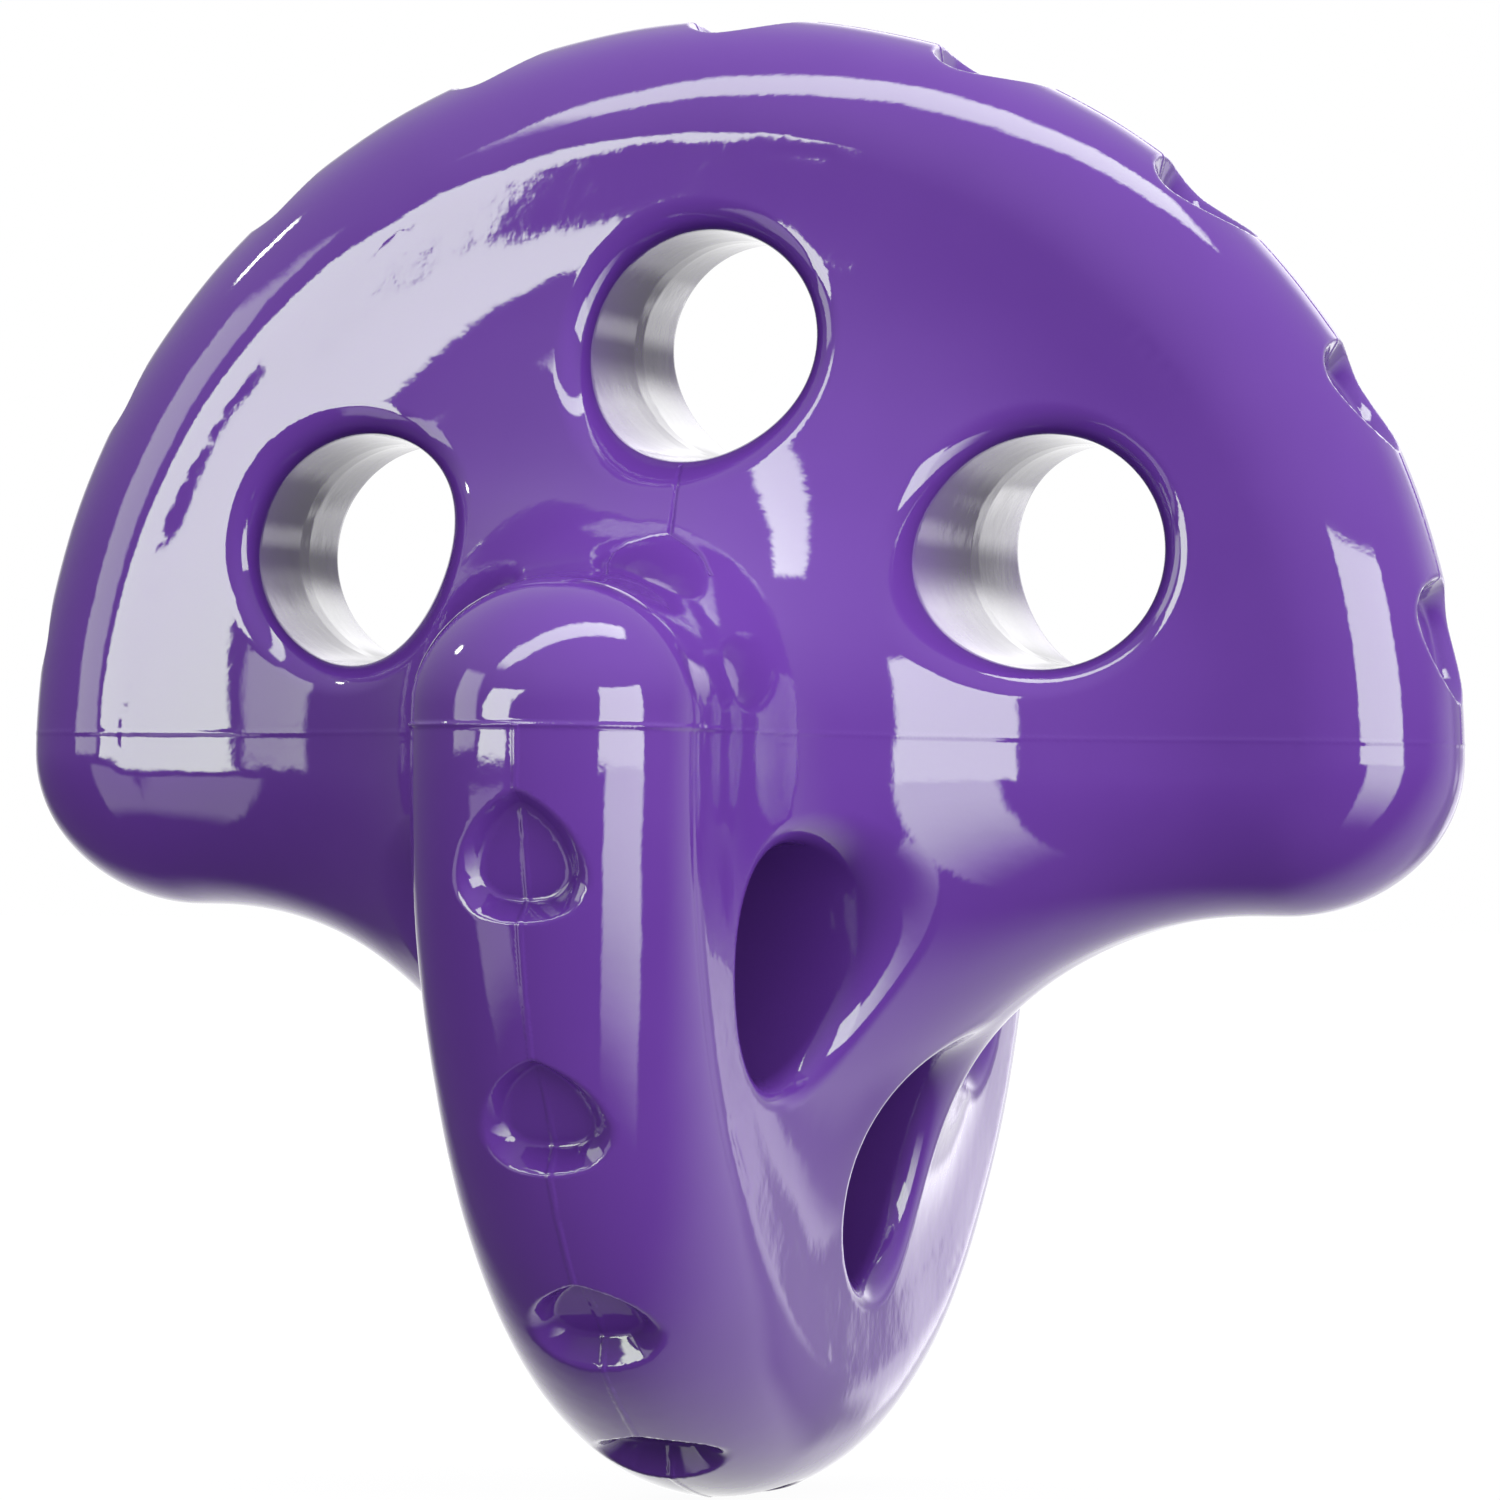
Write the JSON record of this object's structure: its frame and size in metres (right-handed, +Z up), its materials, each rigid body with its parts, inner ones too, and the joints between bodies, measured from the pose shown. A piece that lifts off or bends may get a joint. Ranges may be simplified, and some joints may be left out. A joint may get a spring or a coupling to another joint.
{
  "type": "dog chew toy",
  "caption": "Moulded violet rubber dog toy: crossed half-discs in a ball outline, with through holes and triangular pockets round the rims.",
  "frame": {"origin": "centre of the ball outline that both half-discs share", "axes": "+Z up through the pole of the upper half-disc; the upper half-disc lies in the XZ plane and the lower half-disc in the YZ plane"},
  "size_m": [0.08, 0.08, 0.0798],
  "materials": {
    "violet_rubber": "gloss"
  },
  "bodies": {
    "root": {"upper_half": "violet_rubber", "lower_half": "violet_rubber"}
  },
  "joints": []
}
